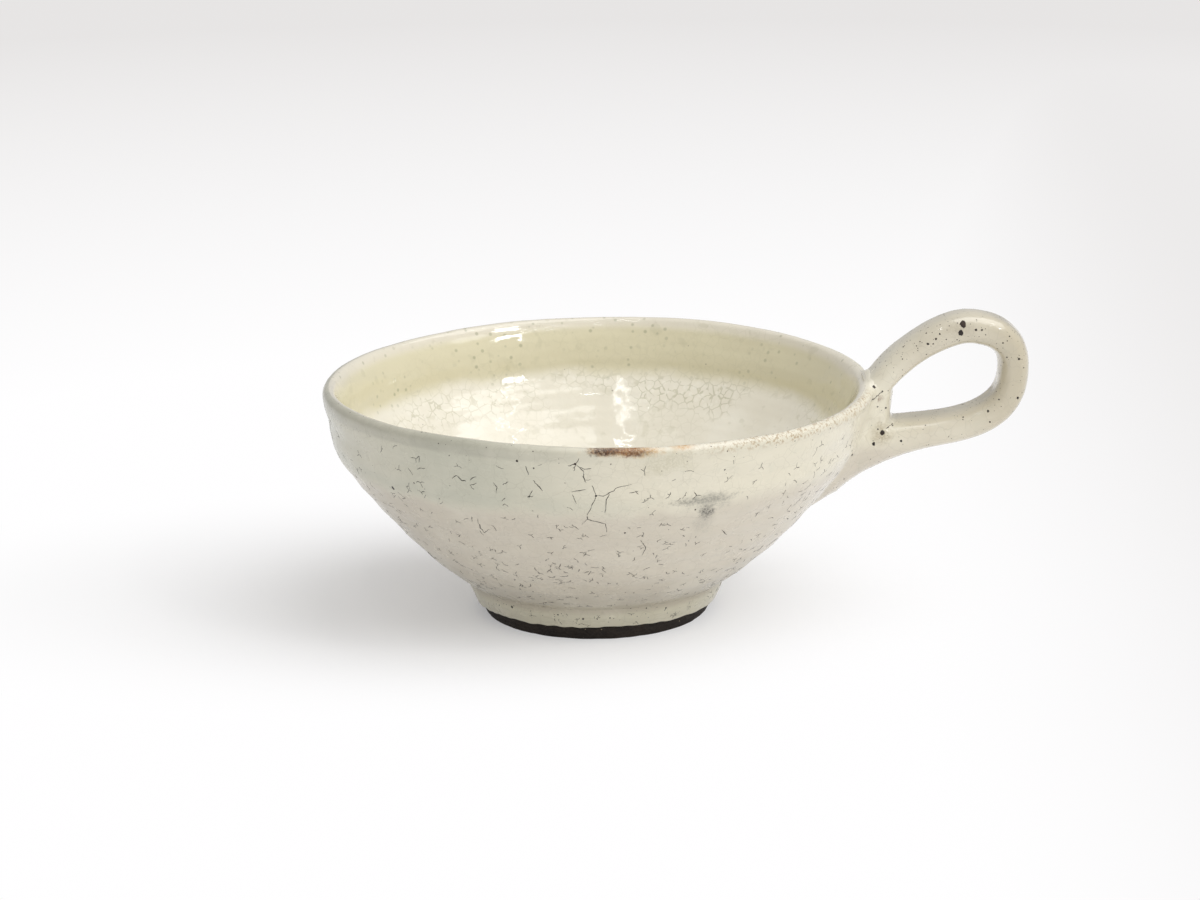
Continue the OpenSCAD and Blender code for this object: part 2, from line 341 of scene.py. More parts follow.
def strap_distance(p, path):
    """Distance out of one run of the strap. The line lies at y = 0, so its nearest point is found in x and z."""
    flat = p.reshape(-1, 3)
    rows = path[nearest(flat[:, ::2], path)]
    dx, dz = flat[:, 0] - rows[:, 0], flat[:, 2] - rows[:, 1]
    along = dx * rows[:, 2] + dz * rows[:, 3]
    across = dx * rows[:, 3] - dz * rows[:, 2]
    out = section_distance(across, flat[:, 1], rows[:, 4], rows[:, 5])
    return np.maximum(out, np.abs(along) - 0.6).reshape(p.shape[:-1])


def melted(a, b, k):
    """The lesser of two distances, with a soft hollow of width k where they meet."""
    h = np.clip(0.5 + 0.5 * (b - a) / k, 0, 1)
    return b * (1 - h) + a * h - k * h * (1 - h)


def handle_distance(p):
    """Distance out of the strap and the pad of clay between its roots."""
    arms = np.minimum(strap_distance(p, HANDLE_PATHS[0]), strap_distance(p, HANDLE_PATHS[1]))
    (mid_x, half_x), (mid_z, half_z) = (((lo + hi) / 2, (hi - lo) / 2) for lo, hi in (PAD_X, PAD_Z))
    pad = section_distance(p[..., 0] - mid_x, p[..., 1], half_x, PAD_W / 2)
    pad = np.maximum(pad, np.abs(p[..., 2] - (mid_z - HANDLE_LIFT)) - half_z)
    return melted(arms, pad, PAD_MELT)


def pot_distance(p):
    return melted(handle_distance(p), wall_distance(p), ROOT_MELT)


def relief(p, inside):
    """Height of the hand-made unevenness over the smooth form: throwing rings, swells and small ripples."""
    r, angle = polar(p)
    run = np.where(inside, r * 0.55 + p[..., 2] * 0.6, p[..., 2])
    rings = np.sin(2 * np.pi * run / 6.4 + angle + 1.4 * noise(p, 40, 3))
    fine = np.sin(2 * np.pi * run / 2.3 + angle * 2 + 2.0 * noise(p, 25, 4))
    swell = 0.26 * noise(p, 26, 1) + 0.12 * noise(p, 11, 2) + 0.035 * noise(p, 3.4, 5)
    swell = swell + np.where(inside, 0.15 * noise(p, 8, 6) + 0.06 * noise(p, 4.2, 7), 0.0)
    depth = np.where(inside, 0.05, 0.085)
    return swell * smooth(3, 10, p[..., 2]) + depth * rings * smooth(6, 14, p[..., 2]) + 0.018 * fine


def warped(p):
    """Points of the level form, moved as the pot's own tilt moves them."""
    q = np.array(p, float)
    q[..., 2] += tilt_at(p)
    q[..., 0] += BODY_SHIFT * (1 - smooth(*SHIFT_FADE, q[..., 2]))
    return q


# Mesh making
def linked(name, data):
    obj = bpy.data.objects.new(name, data)
    bpy.context.scene.collection.objects.link(obj)
    return obj


def new_object(name, verts, faces, normals=None):
    mesh = bpy.data.meshes.new(name)
    mesh.from_pydata((np.asarray(verts) * MM).tolist(), [], [list(map(int, f)) for f in faces])
    mesh.update()
    mesh.shade_smooth()
    if normals is not None:
        mesh.normals_split_custom_set_from_vertices(np.asarray(normals).tolist())
    return linked(name, mesh)


def grid_faces(rows, cols, start=0, flip=False):
    """Quads of a grid whose rows close round."""
    k, i = np.meshgrid(np.arange(rows - 1), np.arange(cols), indexing="ij")
    a, b = start + k * cols + i, start + k * cols + (i + 1) % cols
    quads = np.stack([a, b, b + cols, a + cols], -1).reshape(-1, 4)
    return quads[:, ::-1] if flip else quads


def fan(centre, start, around, flip=False):
    """Triangles from a middle point to a closed ring."""
    ring = [(start + i, start + (i + 1) % around) for i in range(around)]
    return [(b, a, centre) if flip else (a, b, centre) for a, b in ring]


def bridge(low, high):
    """Quads between two rings of a glaze piece, from the first index of each."""
    ring = np.arange(AROUND)
    after = (ring + 1) % AROUND
    return np.stack([low + ring, low + after, high + after, high + ring], -1)


def grid_normals(v):
    """Unit normals of a closed-round grid, from its own neighbours."""
    down = np.gradient(v, axis=0)
    round_ = (np.roll(v, -1, 1) - np.roll(v, 1, 1)) / 2
    n = np.cross(round_, down)
    return n / np.maximum(np.linalg.norm(n, axis=2, keepdims=True), 1e-12)


def turned(rows, around=AROUND):
    """A grid of points from outline rows turned about Z, and the outward normals of the smooth form."""
    angle = np.linspace(0, 2 * np.pi, around, endpoint=False)[None, :]
    out = outward(rows[:, 2])
    return on_ring(rows[:, 0:1], angle, rows[:, 1:2]), on_ring(out[:, 0:1], angle, out[:, 1:2])


def near_roots(p, x, y, z):
    return (p[..., 0] > x) & (np.abs(p[..., 1]) < y) & (p[..., 2] > z)


def lifted_to_roots(points, normals, outer):
    """How far each wall point rises to follow the soft hollow round the handle's roots."""
    lift = np.zeros(points.shape[:-1])
    zone = near_roots(points, 44, 19, 20) & outer
    p, n = points[zone], normals[zone]
    count = int(ROOT_LIFT_MAX / LIFT_STEP)
    d = np.array([pot_distance(p + n * (k * LIFT_STEP)) for k in range(1, count + 1)] + [np.zeros(len(p))])
    first = (d >= 0).argmax(0)
    part = np.clip(LIFT_STEP - d[first, np.arange(len(p))], 0, LIFT_STEP)
    rise = first * LIFT_STEP + np.where(first < count, part, 0)
    rise[pot_distance(p) > -0.004] = 0
    lift[zone] = rise
    return lift


def glaze_skins():
    """The glaze as one surface over the whole pot, cut at the crest of the lip into an outer and an inner skin."""
    glazed = CLAY_OUT[CLAY_OUT[:, 1] > GLAZE_LINE_H + GLAZE_ROLL]
    r, z, lean = glazed[0]
    roll_c = np.array([r, z]) - (GLAZE_ROLL - GLAZE_EDGE_T) * outward(lean)
    roll = round_rows(roll_c, GLAZE_ROLL, lean + 88, lean + 6, 9)
    thick = GLAZE_EDGE_T + (GLAZE_T - GLAZE_EDGE_T) * smooth(0.0, 3.0, glazed[:, 1] - z)
    outside = np.vstack([roll, moved(glazed, thick)])
    low = outside[:, 1] < FINE_BELOW
    low_rows = resampled(outside[low], FINE_STEP)
    out_rows = np.vstack([low_rows, resampled(np.vstack([low_rows[-1:], outside[~low]]), ROW_STEP)[1:]])
    in_rows = resampled(moved(CLAY_IN, GLAZE_T), ROW_STEP)
    in_rows[-1, 0] = 0.02
    rows = np.vstack([out_rows, in_rows[1:]])
    crest = len(out_rows) - 1
    points, smooth_n = turned(rows)
    inside = (np.arange(len(rows)) > crest)[:, None] * np.ones((1, AROUND), bool)
    lift = lifted_to_roots(points, smooth_n, ~inside)
    near = np.ones(points.shape[:2])
    zone = near_roots(points, 40, 24, 16) & ~inside
    near[zone] = smooth(0.5, 7.0, handle_distance(points[zone]))
    height = relief(points, inside) * smooth(0, 0.8, ROOT_LIFT_MAX - lift) * near
    _, angle = polar(points)
    hem = smooth(GLAZE_LINE_H + 6.0, GLAZE_LINE_H, points[..., 2]) * ~inside
    around = on_ring(9, angle, 0)
    height = height + hem * (0.10 * noise(around, 1.7, 21) + 0.07 * noise(around, 0.7, 22))
    points = points + smooth_n * (height + lift)[..., None]
    sag = 0.22 * noise(around, 2.6, 23) + 0.2 * noise(around, 0.6, 24) - 0.7 * np.cos(angle) ** 2
    points[..., 2] += sag * smooth(GLAZE_LINE_H + 3.4, GLAZE_LINE_H + 0.2, points[..., 2]) * ~inside
    points = warped(points)
    normals = grid_normals(points)
    normals *= np.sign((normals * smooth_n).sum(-1, keepdims=True).mean())
    built = []
    for name, lo, hi in (("outer_glaze_skin", 0, crest + 1), ("inner_glaze_skin", crest, len(rows))):
        face_v, face_n = points[lo:hi], normals[lo:hi]
        picks = np.unique(np.linspace(0, hi - lo - 1, 46).astype(int))
        back = (points - smooth_n * (height + lift + SKIN_DEPTH)[..., None])[lo:hi][picks]
        back[..., 2] = np.maximum(back[..., 2], GLAZE_LINE_H + 0.2)
        n_face, n_back = len(face_v) * AROUND, len(back) * AROUND
        a, b = n_face - AROUND, n_face + n_back - AROUND
        verts = np.vstack([face_v.reshape(-1, 3), back.reshape(-1, 3)])
        faces = [grid_faces(len(face_v), AROUND), grid_faces(len(back), AROUND, n_face, flip=True)]
        faces.append(bridge(n_face, 0))
        if name == "outer_glaze_skin":
            faces.append(bridge(a, b))
            extra = []
        else:
            centre = len(verts)
            verts = np.vstack([verts, points[-1].mean(0), back[-1].mean(0)])
            extra = fan(centre, a, AROUND) + fan(centre + 1, b, AROUND, flip=True)
        normals_all = np.vstack([face_n.reshape(-1, 3), -smooth_n[lo:hi][picks].reshape(-1, 3)])
        if extra:
            normals_all = np.vstack([normals_all, [0, 0, 1], [0, 0, -1]])
        built.append(new_object(name, verts, np.vstack(faces).tolist() + extra, normals_all))
    return built


def clay_pot():
    """The turned clay: it shows at the foot ring, its underside and the thin line under the glaze's edge."""
    ring_in = FOOT_R - FOOT_RING_W
    corner = np.array([ring_in - RECESS_ROUND, RECESS_H - RECESS_ROUND])
    arc = np.radians(np.linspace(0, 90, 9))[1:]
    under = [(0.02, RECESS_H)] + [(x, RECESS_H) for x in np.linspace(1, corner[0], 30)]
    under += [tuple(q) for q in corner + RECESS_ROUND * np.column_stack([np.sin(arc), np.cos(arc)])]
    under += [(ring_in, h) for h in np.linspace(RECESS_H - RECESS_ROUND, FOOT_CHAMFER, 5)[1:]]
    under += [(ring_in + FOOT_CHAMFER * s, FOOT_CHAMFER * (1 - s)) for s in (0.3, 0.7, 1.0)]
    under += [(x, 0.0) for x in np.linspace(ring_in + FOOT_CHAMFER, FOOT_R - FOOT_CHAMFER, 12)[1:]]
    under += [(FOOT_R - FOOT_CHAMFER * (1 - s), FOOT_CHAMFER * s) for s in (0.3, 0.7, 1.0)]
    outline = np.array(under + [tuple(q[:2]) for q in CLAY_OUT[1::2]] + [tuple(q[:2]) for q in CLAY_IN[1::2]])
    outline[-1] = (0.02, CLAY_IN[-1, 1])
    around = CLAY_AROUND
    rows = np.column_stack([outline, np.zeros(len(outline))])
    points, _ = turned(rows, around)
    _, angle = polar(points)
    side = smooth(FOOT_R - 0.9, FOOT_R - 0.1, rows[:, 0:1]) * smooth(4.6, 2.6, rows[:, 1:2])
    circle = on_ring(12, angle, points[..., 2] * 1.6)
    grow = side * (0.10 * noise(circle, 1.1, 31) + 0.05 * noise(circle, 0.35, 32))
    points += on_ring(grow, angle, 0)
    bottom = smooth(RECESS_H + 0.05, 0.4, points[..., 2]) * (points[..., 2] < RECESS_H + 0.1)
    tool = 0.05 * np.sin(2 * np.pi * rows[:, 0:1] / 1.5) * (points[..., 2] > RECESS_H - 0.2) * (rows[:, 0:1] < 22)
    points[..., 2] += tool * (np.arange(len(rows))[:, None] < len(under))
    points[..., 2] += 0.05 * bottom * (noise(circle, 0.9, 33) + 1) * smooth(0.0, 1.2, rows[:, 0:1] - 22)
    points = warped(points)
    count = len(rows) * around
    verts = np.vstack([points.reshape(-1, 3), points[0].mean(0), points[-1].mean(0)])
    faces = grid_faces(len(rows), around).tolist() + fan(count, 0, around, flip=True)
    faces += fan(count + 1, count - around, around)
    return new_object("clay_pot", verts, faces)


def surface_net(field, origin, step):
    """A closed mesh of quads round the cells where the field is below zero."""
    inside = field < 0
    cells = tuple(s - 1 for s in field.shape)
    corners = list(np.ndindex(2, 2, 2))

    def shifted(array, c):
        return array[c[0]:c[0] + cells[0], c[1]:c[1] + cells[1], c[2]:c[2] + cells[2]]

    count = sum(shifted(inside, c).astype(int) for c in corners)
    active = (count > 0) & (count < 8)
    index = np.full(cells, -1)
    index[active] = np.arange(active.sum())
    place, hits = np.zeros((active.sum(), 3)), np.zeros(active.sum())
    for start, step_on in itertools.product(corners, np.eye(3, dtype=int)):
        end = start + step_on
        if end.max() > 1:
            continue
        fa, fb = shifted(field, start)[active], shifted(field, end)[active]
        cross = (fa < 0) != (fb < 0)
        t = np.where(cross, fa / np.where(cross, fa - fb, 1), 0)
        place[cross] += (np.array(start, float) + t[:, None] * step_on)[cross]
        hits[cross] += 1
    where = np.argwhere(active)
    verts = np.asarray(origin) + (where + place / hits[:, None]) * step
    quads = []
    for axis in range(3):
        u, v = (axis + 1) % 3, (axis + 2) % 3
        along = np.moveaxis(inside, axis, 0)
        at = np.argwhere(np.moveaxis(along[:-1] != along[1:], 0, axis))
        at = at[(at[:, [u, v]] > 0).all(1) & (at < cells).all(1)]
        ring = []
        for du, dv in ((-1, -1), (0, -1), (0, 0), (-1, 0)):
            near = at.copy()
            near[:, [u, v]] += du, dv
            ring.append(index[tuple(near.T)])
        ring = np.stack(ring, -1)
        quads.append(np.where(inside[tuple(at.T)][:, None], ring, ring[:, ::-1]))
    return verts, np.vstack(quads)


def handle_field(p):
    wall, handle = wall_distance(p), handle_distance(p)
    joined = melted(handle, wall, ROOT_MELT)
    hidden = 0.06 * (1 - smooth(0.8, 2.0, wall))
    return np.maximum(np.maximum(joined + hidden, -(wall + SEAT_DEPTH)), handle - ROOT_SPREAD)


def slope_of(field, p, step=0.05):
    parts = []
    for axis in range(3):
        d = np.zeros(3)
        d[axis] = step
        parts.append((field(p + d) - field(p - d)) / (2 * step))
    return np.stack(parts, -1)


def handle_grid(step):
    axes = [np.arange(lo, hi, step) for lo, hi in zip(HANDLE_LOW, HANDLE_HIGH)]
    return np.stack(np.meshgrid(*axes, indexing="ij"), -1)


def handle_glaze():
    """The glazed loop with its roots melted into the wall, from a field of distances."""
    field = np.concatenate([handle_field(slab)[None] for slab in handle_grid(HANDLE_STEP)])
    verts, quads = surface_net(field, HANDLE_LOW, HANDLE_STEP)
    for _ in range(3):
        g = slope_of(handle_field, verts)
        size = np.maximum((g * g).sum(-1), 0.2)
        move = handle_field(verts)[:, None] * g / size[:, None]
        verts = verts - np.clip(move, -0.3, 0.3) * 0.8
    normal = slope_of(handle_field, verts)
    normal /= np.maximum(np.linalg.norm(normal, axis=1)[:, None], 1e-9)
    free = smooth(0.8, 3.0, wall_distance(verts))
    stretch = verts * np.array([0.45, 1.0, 0.45])
    bumps = 0.17 * noise(stretch, 4.2, 41) + 0.1 * noise(verts, 6.5, 42) + 0.035 * noise(verts, 2.2, 43)
    verts = verts + normal * (bumps * free)[:, None]
    return new_object("handle_glaze_skin", warped(verts), quads.tolist())


def strap_clay():
    """The clay of the strap and its pad, which the glaze covers all round."""
    grid = handle_grid(STRAP_STEP)
    field = np.maximum(handle_distance(grid) + GLAZE_T + 0.15, -(wall_distance(grid) + STRAP_SEAT))
    verts, quads = surface_net(field, HANDLE_LOW, STRAP_STEP)
    return new_object("strap_clay", warped(verts), quads.tolist())


# Camera
def make_camera():
    e = math.radians(CAM_ELEVATION)
    back = Vector((0, -math.cos(e), math.sin(e)))
    data = bpy.data.cameras.new("photo_camera")
    cam = linked("photo_camera", data)
    cam.location = (Vector(CAM_TARGET) + back * CAM_DISTANCE) * MM
    turn = back.to_track_quat("Z", "Y").to_matrix().to_4x4()
    roll = Matrix.Rotation(math.radians(-CAM_ROLL), 4, "Z")
    cam.matrix_world = Matrix.Translation(cam.location) @ turn @ roll
    data.sensor_fit = "HORIZONTAL"
    data.sensor_width = SENSOR_W
    data.lens = CAM_LENS
    data.clip_start = 0.01
    bpy.context.scene.camera = cam
    return cam


def photo_ray(cam, x, y):
    """Start and direction of the sight line through a pixel of the photograph."""
    half = SENSOR_W / 2 / CAM_LENS
    local = Vector(((x / PHOTO_W - 0.5) * 2 * half, (0.5 - y / PHOTO_H) * 2 * half * PHOTO_H / PHOTO_W, -1))
    m = cam.matrix_world
    return m.translation.copy(), (m.to_3x3() @ local).normalized()


def mesh_tree(objects):
    verts, faces = [], []
    for obj in objects:
        base = len(verts)
        verts += [v.co[:] for v in obj.data.vertices]
        faces += [[base + i for i in p.vertices] for p in obj.data.polygons]
    return BVHTree.FromPolygons(verts, faces)


# Materials
class Graph:
    """Short names for the nodes that the materials are built of. Sizes are in millimetres."""

    def __init__(self, tree):
        self.tree = tree
        tree.nodes.clear()

    def put(self, socket, value):
        if isinstance(value, bpy.types.NodeSocket):
            self.tree.links.new(value, socket)
        else:
            socket.default_value = value

    def feed(self, node, values):
        """Sets or links a node's inputs, by their names or in their order."""
        for key, value in values.items() if isinstance(values, dict) else enumerate(values):
            self.put(node.inputs[key], value)
        return node

    def node(self, kind, values=(), **settings):
        made = self.tree.nodes.new("ShaderNode" + kind)
        for key, value in settings.items():
            setattr(made, key, value)
        return self.feed(made, values)

    def math(self, operation, *values):
        return self.node("Math", values, operation=operation).outputs[0]

    def vector(self, operation, *values):
        made = self.node("VectorMath", values, operation=operation)
        return made.outputs["Value" if operation == "LENGTH" else "Vector"]

    def fit(self, value, lo, hi, out_lo=0.0, out_hi=1.0, kind="SMOOTHSTEP"):
        return self.node("MapRange", (value, lo, hi, out_lo, out_hi), interpolation_type=kind).outputs[0]

    def noise(self, size, detail, roughness, seed, place=None):
        values = {"Vector": place or self.place, "W": seed, "Scale": 1 / (size * MM)}
        values.update({"Detail": detail, "Roughness": roughness})
        return self.node("TexNoise", values, noise_dimensions="4D").outputs[0]

    def voronoi(self, size, place=None, feature="F1"):
        values = {"Vector": place or self.place, "Scale": 1 / (size * MM)}
        return self.node("TexVoronoi", values, feature=feature).outputs

    def mix(self, factor, a, b):
        a, b = (c if isinstance(c, bpy.types.NodeSocket) else (*c, 1.0) for c in (a, b))
        return self.node("Mix", {0: factor, 6: a, 7: b}, data_type="RGBA").outputs[2]

    def parts(self, vector):
        return self.node("SeparateXYZ", (vector,)).outputs

    def times(self, *values):
        total = values[0]
        for value in values[1:]:
            total = self.math("MULTIPLY", total, value)
        return total

    def over(self, colour, *layers):
        """The colour under layers, each a tone and the shares that multiply to its strength."""
        for tone, *shares in layers:
            colour = self.mix(self.times(*shares), colour, tone)
        return colour

    def band(self, value, lo, hi, soft):
        """One between lo and hi, fading out over soft on each side."""
        return self.times(self.fit(value, lo - soft, lo + soft), self.fit(value, hi + soft, hi - soft))

    def bump(self, height, distance):
        return self.node("Bump", {"Distance": distance, "Height": height}).outputs[0]

    def stain(self, centre, radii, ragged, size, seed):
        """A soft-edged patch round a point, with a ragged rim."""
        offset = self.vector("SUBTRACT", self.place, tuple(c * MM for c in centre))
        reach = self.vector("LENGTH", self.vector("MULTIPLY", offset, tuple(1 / (r * MM) for r in radii)))
        rag = self.math("MULTIPLY_ADD", self.noise(size, 3.0, 0.6, seed), ragged * 2, -ragged)
        return self.fit(self.math("ADD", reach, rag), 1.1, 0.2)


def new_material(name):
    """A material with its node helper and its shader."""
    material = bpy.data.materials.new(name)
    material.use_nodes = True
    g = Graph(material.node_tree)
    shader = g.node("BsdfPrincipled")
    g.end = g.node("OutputMaterial", (shader.outputs[0],))
    g.place = g.node("TexCoord").outputs["Object"]
    return material, g, shader


def srgb(r, g, b):
    """A screen colour as the linear values that shaders take."""
    return tuple(((c / 255 + 0.055) / 1.055) ** 2.4 if c > 10 else c / 255 / 12.92 for c in (r, g, b))


def crackle(g, size, width, openness, seed):
    """Broken lines of a crackled glaze: cell borders, kept only near where three cells meet."""
    wobble = g.node("CombineXYZ", (g.noise(size * 0.6, 2.0, 0.5, seed),) * 3).outputs[0]
    bent = g.vector("ADD", g.place, g.vector("MULTIPLY", wobble, (size * MM * 0.35,) * 3))
    edge = g.voronoi(size, bent, "DISTANCE_TO_EDGE")["Distance"]
    near = g.voronoi(size, bent)["Distance"]
    gate = g.math("MULTIPLY_ADD", g.noise(size * 2.2, 2.0, 0.5, seed + 3), -0.5, openness + 0.25)
    return g.times(g.fit(edge, width, width * 0.25), g.fit(near, gate, g.math("ADD", gate, 0.12)))


CREAM = srgb(224, 218, 199)
CREAM_PALE = srgb(232, 227, 211)
BEIGE = srgb(209, 201, 185)
GREEN_GREY = srgb(186, 188, 172)
RIM_GREY = srgb(176, 174, 159)
# Painted shade: the lower wall darkens to this tone toward the hollow above the foot; the real throwing streaks low on
# the wall use the same tone
NECK_SHADE_AND_STREAKS = srgb(178, 170, 151)
FOOT_BAND = srgb(216, 212, 190)
YELLOWED = srgb(216, 209, 178)
LIP = srgb(228, 222, 208)
INNER = srgb(236, 231, 216)
INNER_PALE = srgb(243, 239, 226)
INNER_LINE = srgb(184, 180, 152)
INNER_DOT = srgb(150, 152, 122)
HAIRLINE = srgb(150, 145, 128)
HANDLE_CREAM = srgb(218, 211, 192)
HANDLE_BEIGE = srgb(203, 195, 175)
# Painted shade: the far end of the handle's loop darkens toward this tone
HANDLE_TIP_SHADE = srgb(188, 178, 154)
SPECK = srgb(92, 74, 56)
RUST = srgb(172, 148, 112)
CLAY = srgb(36, 31, 28)
CLAY_PALE = srgb(52, 44, 38)
CLAY_DARK = srgb(24, 21, 19)
FLECK = srgb(150, 136, 116)


def speckle(g, size, share, radius, channel=0, kind="LINEAR"):
    """Small dots in a share of the cells, with sizes that differ."""
    cells = g.voronoi(size)
    reach = g.fit(g.parts(cells["Color"])[channel], 1 - share, 1.0, 0.0, radius, kind)
    return g.math("LESS_THAN", cells["Distance"], reach)


def finish_glaze(g, shader, colour, lines, dots, rough, coat, grain, extra=None):
    """Colour, gloss and clear coat, and a fine relief with the lines and the dots sunk in."""
    waves = g.times(g.noise(6.0, 2.0, 0.5, 13.0), 0.9)
    height = g.math("MULTIPLY_ADD", g.noise(1.6, 2.0, 0.5, 12.0), grain, waves)
    for mark, depth in ((lines, 0.35), (dots, 0.5)):
        height = g.math("SUBTRACT", height, g.times(mark, depth))
    if extra is not None:
        height = g.math("ADD", height, extra)
    g.feed(shader, {
        "Base Color": colour,
        "Roughness": g.fit(g.noise(7.0, 3.0, 0.55, 9.0), 0.3, 0.75, *rough),
        "IOR": 1.52,
        "Coat Weight": coat[0],
        "Coat Roughness": coat[1],
        "Normal": g.bump(height, 0.00011),
    })


def level_height(g, x, y, z):
    """Height over the table, less the rim's own tilt."""
    sway = RIM_SWAY / (RIM_R * RIM_R * MM)
    even = g.math("SUBTRACT", g.math("MULTIPLY", x, x), g.math("MULTIPLY", y, y))
    lift = g.times(even, sway * math.cos(RIM_SWAY_TURN))
    lift = g.math("ADD", lift, g.times(x, y, 2 * sway * math.sin(RIM_SWAY_TURN)))
    lift = g.math("MULTIPLY_ADD", x, RIM_TILT[0] / RIM_R, lift)
    return g.math("SUBTRACT", z, g.math("MULTIPLY_ADD", y, RIM_TILT[1] / RIM_R, lift))


def with_stains(g, colour, stains):
    for k, (centre, radii, tone, strength, ragged, size) in enumerate(stains):
        patch = g.stain(centre, radii, ragged, size, 11.0 + 1.7 * k)
        grain = g.fit(g.noise(0.5, 2.0, 0.6, 30.0 + k), 0.35, 0.6, 0.35, 1.0)
        colour = g.mix(g.times(patch, grain, strength), colour, tone)
    return colour


def uneven_height(g, z, cloud):
    """Height, made uneven so that the bands of colour have no straight edge."""
    return g.math("ADD", z, g.math("MULTIPLY_ADD", cloud, 0.006, -0.003))


# Height of the change from the belly's colour to the collar's, and distance where the handle takes the wall's colour
COLLAR_FROM = (0.041, 0.046)
ROOT_BLEND = (0.083, 0.071)


def outer_glaze_material(name, stains, handle=False):
    material, g, shader = new_material(name)
    x, y, z = g.parts(g.place)
    cloud = g.noise(13, 3.0, 0.55, 2.0)
    mottle = g.noise(3.2, 3.0, 0.6, 3.0)
    height = uneven_height(g, z, cloud)
    wall = g.mix(g.fit(height, *COLLAR_FROM), BEIGE, CREAM)
    if handle:
        loop = g.mix(g.fit(cloud, 0.35, 0.7), HANDLE_CREAM, HANDLE_BEIGE)
        # painted shade: the loop darkens toward its far end
        loop = g.over(loop, (HANDLE_TIP_SHADE, g.fit(x, 0.090, 0.107, 0.0, 0.75)))
        colour = g.mix(g.fit(x, *ROOT_BLEND), loop, wall)
        paler = g.fit(x, *ROOT_BLEND, 0.12, 0.3)
        creased = g.stain((74.0, -6.0, 46.0), (5.0, 6.0, 5.0), 0.4, 2.0, 50.0)
        extra = g.times(creased, g.noise(1.5, 2.0, 0.5, 51.0), 1.6)
        gloss, coat = (0.14, 0.30), (0.9, 0.07)
    else:
        broad = g.noise(46, 2.0, 0.5, 1.0)
        streaks = g.noise(0.9, 3.0, 0.6, 15.0, g.vector("MULTIPLY", g.place, (0.12, 0.12, 1.0)))
        rusty = g.fit(g.noise(0.8, 3.0, 0.65, 7.0), 0.49, 0.6)
        level = level_height(g, x, y, z)
        colour = g.over(
            wall,
            (GREEN_GREY, g.fit(x, 0.010, -0.034), g.fit(height, 0.0415, 0.048), g.fit(broad, 0.2, 0.7, 0.3, 0.75)),
            (GREEN_GREY, g.band(height, 0.044, 0.048, 0.0024), g.fit(x, 0.03, -0.02), g.fit(cloud, 0.3, 0.6), 0.5),
            (RIM_GREY, g.fit(level, 0.0562, 0.0573), g.fit(x, 0.010, -0.035, 0.1, 0.7), g.fit(mottle, 0.3, 0.7, 0.65)),
            # painted shade, darker down the lower wall toward the hollow above the foot
            (NECK_SHADE_AND_STREAKS, g.fit(height, 0.024, 0.010), 0.75),
            (FOOT_BAND, g.fit(z, 0.0090, 0.0070, 0.0, 0.7)),
            # real throwing streaks low on the wall, in the tone of the painted shade
            (NECK_SHADE_AND_STREAKS, g.fit(streaks, 0.52, 0.68), g.fit(z, 0.030, 0.010, 0.12, 0.55), 0.5),
            # painted highlight: the lip's crest turns paler toward the right, where it glints
            (CREAM_PALE, g.fit(level, 0.0590, 0.0597), g.fit(x, -0.02, 0.02), 0.5),
            (RUST, g.fit(level, 0.0572, 0.0588), g.fit(x, 0.012, 0.045), g.fit(y, -0.005, -0.02), rusty, 0.8),
        )
        paler, extra = 0.3, None
        gloss, coat = (0.24, 0.36), (0.15, 0.16)
    colour = g.over(colour, (CREAM_PALE, g.fit(cloud, 0.42, 0.75), paler), (GREEN_GREY, g.fit(mottle, 0.5, 0.8), 0.2))
    colour = with_stains(g, colour, stains)
    lines = g.times(crackle(g, 3.4, 0.03, 0.46, 20.0), 0.16)
    dots = speckle(g, 2.6, 0.16, 0.07)
    colour = g.over(colour, (HAIRLINE, lines), (SPECK, dots, 0.6))
    finish_glaze(g, shader, colour, lines, dots, gloss, coat, 0.22, extra)
    return material


def inner_glaze_material():
    material, g, shader = new_material("inner_glaze")
    x, y, z = g.parts(g.place)
    cloud = g.noise(13, 3.0, 0.55, 2.0)
    height = uneven_height(g, z, cloud)
    turn = g.band(height, 0.0385, 0.0455, 0.003)
    patches = g.fit(g.noise(17.0, 2.0, 0.5, 8.0), 0.42, 0.62)
    web = g.math("MULTIPLY_ADD", g.times(turn, patches), 0.42, g.times(patches, 0.12))
    lines = g.times(crackle(g, 2.4, 0.09, 0.40, 20.0), web)
    soft_dots = g.fit(g.voronoi(2.6)["Distance"], 0.26, 0.1)
    dots = speckle(g, 4.2, 0.22, 0.07)
    colour = g.over(
        g.mix(g.fit(cloud, 0.4, 0.7), INNER, INNER_PALE),
        (YELLOWED, g.fit(height, 0.0440, 0.0485, 0.0, 0.9)),
        (LIP, g.fit(level_height(g, x, y, z), 0.0568, 0.0592, 0.0, 0.85)),
        (INNER_LINE, g.fit(g.noise(3.6, 2.0, 0.5, 4.0), 0.60, 0.70), 0.22),
        (INNER_LINE, lines),
        (INNER_PALE, g.fit(g.voronoi(2.1)["Distance"], 0.42, 0.2), turn, patches, 0.8),
        (INNER_DOT, soft_dots, g.fit(height, 0.042, 0.047), g.fit(cloud, 0.42, 0.6), 0.5),
        (SPECK, dots, 0.45),
    )
    ripple = g.times(g.noise(3.0, 2.0, 0.5, 14.0), 0.8)
    finish_glaze(g, shader, colour, lines, dots, (0.05, 0.10), (0.3, 0.025), 0.14, ripple)
    return material


